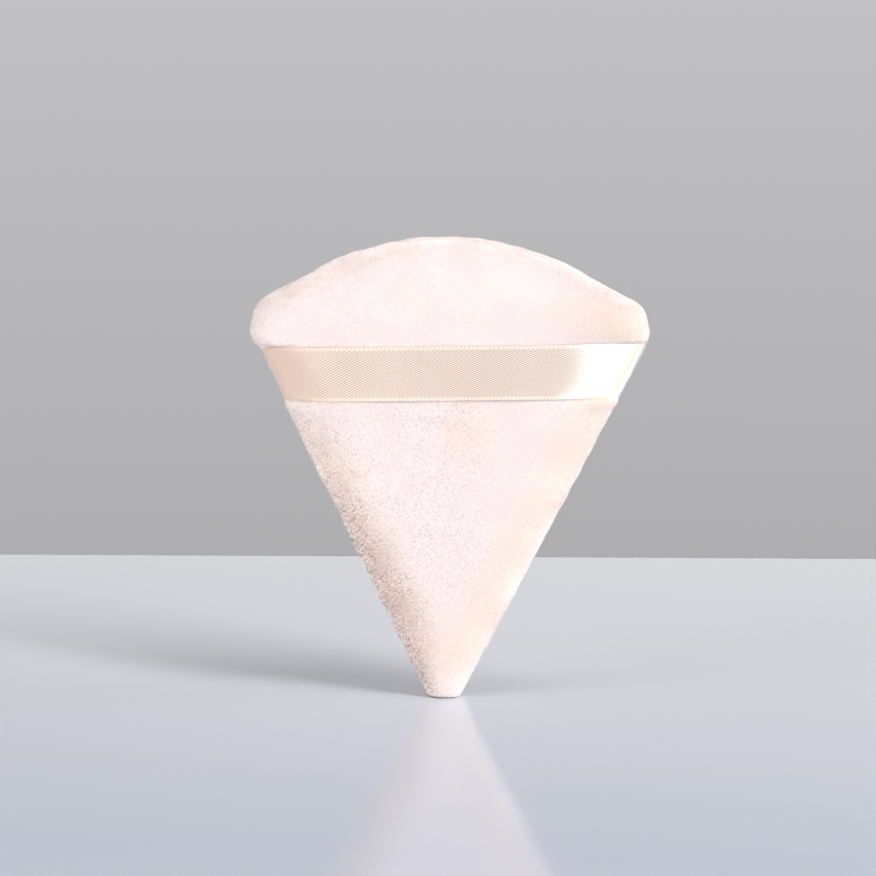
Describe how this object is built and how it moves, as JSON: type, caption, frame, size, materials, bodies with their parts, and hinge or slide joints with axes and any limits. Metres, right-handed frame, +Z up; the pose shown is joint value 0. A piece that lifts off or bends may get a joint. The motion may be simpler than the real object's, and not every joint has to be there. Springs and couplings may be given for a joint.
{
  "type": "powder puff",
  "caption": "Wedge-shaped velour powder puff with a satin finger ribbon across its face, standing on its blunt tip.",
  "frame": {"origin": "middle of the flat under the blunt tip, the bottom centre of the box", "axes": "+Z up from the tip to the curved top, -Y out of the face with the ribbon, +X to the right seen from that face"},
  "size_m": [0.074, 0.0132, 0.0855],
  "materials": {
    "velour": "short dense pile, very pale pink, matt with a soft sheen",
    "sponge": "open-cell polyurethane foam, off-white",
    "satin": "woven satin with a fine twill line and plain selvedges, pale champagne pink",
    "thread": "spun polyester sewing thread, pale pink"
  },
  "bodies": {
    "root": {"front_panel": "velour", "back_panel": "velour", "foam_core": "sponge", "ribbon": "satin", "looper_thread": "thread", "needle_thread": "thread", "closing_thread": "thread"}
  },
  "joints": []
}
